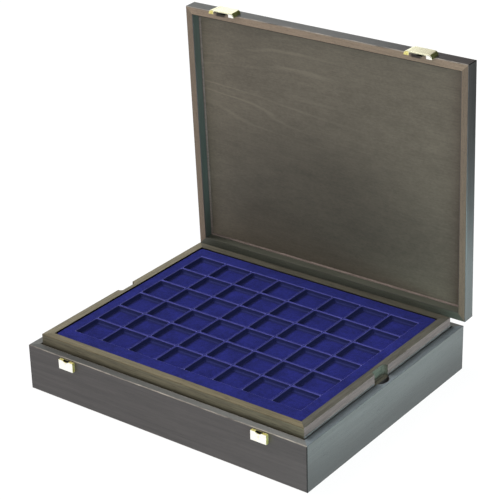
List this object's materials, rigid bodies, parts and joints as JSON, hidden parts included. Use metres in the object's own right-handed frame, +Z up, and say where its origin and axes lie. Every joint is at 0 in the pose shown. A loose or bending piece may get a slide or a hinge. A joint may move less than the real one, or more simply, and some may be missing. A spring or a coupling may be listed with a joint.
{
  "type": "coin case",
  "caption": "Dark stained wooden coin case with a hinged lid, sprung brass catches and lift-out trays of flocked square pockets.",
  "frame": {"origin": "middle of the base's flat underside", "axes": "+X to the right seen from the front, +Y to the hinges at the back, +Z up"},
  "size_m": [0.32, 0.2822, 0.3161],
  "materials": {
    "case_wood": "dark stained, satin",
    "panel_wood": "dark stained plywood",
    "tray_wood": "stained, satin",
    "flock": "blue flock on a formed sheet",
    "brass": "polished, worn"
  },
  "bodies": {
    "base": {"base_front_wall": "case_wood", "base_right_wall": "case_wood", "base_back_wall": "case_wood", "base_left_wall": "case_wood", "base_bottom_panel": "panel_wood", "keeper_left": "brass", "hinge_base_leaf_left": "brass", "hinge_pin_left": "brass", "keeper_right": "brass", "hinge_base_leaf_right": "brass", "hinge_pin_right": "brass", "hinge_screws_base": "brass"},
    "lid": {"lid_front_wall": "case_wood", "lid_right_wall": "case_wood", "lid_back_wall": "case_wood", "lid_left_wall": "case_wood", "lid_top_panel": "panel_wood", "hinge_lid_leaf_left": "brass", "catch_plate_left": "brass", "catch_pin_left": "brass", "catch_spring_left": "brass", "hinge_lid_leaf_right": "brass", "catch_plate_right": "brass", "catch_pin_right": "brass", "catch_spring_right": "brass", "hinge_screws_lid": "brass", "catch_nails": "brass"},
    "left_catch": {"catch_lever_left": "brass"},
    "right_catch": {"catch_lever_right": "brass"},
    "bottom_tray": {"bottom_tray_front_rail": "tray_wood", "bottom_tray_right_rail": "tray_wood", "bottom_tray_back_rail": "tray_wood", "bottom_tray_left_rail": "tray_wood", "bottom_tray_floor": "tray_wood", "bottom_tray_insert_sheet": "flock", "bottom_tray_insert_column_ridges": "flock", "bottom_tray_insert_row_ridges": "flock"},
    "middle_tray": {"middle_tray_front_rail": "tray_wood", "middle_tray_right_rail": "tray_wood", "middle_tray_back_rail": "tray_wood", "middle_tray_left_rail": "tray_wood", "middle_tray_floor": "tray_wood", "middle_tray_insert_sheet": "flock", "middle_tray_insert_column_ridges": "flock", "middle_tray_insert_row_ridges": "flock"},
    "top_tray": {"top_tray_front_rail": "tray_wood", "top_tray_right_rail": "tray_wood", "top_tray_back_rail": "tray_wood", "top_tray_left_rail": "tray_wood", "top_tray_floor": "tray_wood", "top_tray_insert_sheet": "flock", "top_tray_insert_column_ridges": "flock", "top_tray_insert_row_ridges": "flock"}
  },
  "joints": [
    {"name": "lid_hinge", "type": "hinge", "parent": "base", "child": "lid", "pos_m": [0, 0.1333, 0.0472], "axis": [1, 0, 0], "range_deg": [0, 88]},
    {"name": "left_catch_pivot", "type": "hinge", "parent": "lid", "child": "left_catch", "pos_m": [-0.111, 0.1286, 0.3137], "axis": [-1, 0, 0], "range_deg": [0, 7], "stiffness_Nm_per_rad": 0.05, "springref_deg": -5.73},
    {"name": "right_catch_pivot", "type": "hinge", "parent": "lid", "child": "right_catch", "pos_m": [0.111, 0.1286, 0.3137], "axis": [-1, 0, 0], "range_deg": [0, 7], "stiffness_Nm_per_rad": 0.05, "springref_deg": -5.73},
    {"name": "bottom_tray_lift", "type": "slide", "parent": "base", "child": "bottom_tray", "axis": [0, 0, 1], "range_m": [0, 0.062]},
    {"name": "middle_tray_lift", "type": "slide", "parent": "bottom_tray", "child": "middle_tray", "axis": [0, 0, 1], "range_m": [0, 0.062]},
    {"name": "top_tray_lift", "type": "slide", "parent": "middle_tray", "child": "top_tray", "axis": [0, 0, 1], "range_m": [0, 0.062]}
  ]
}
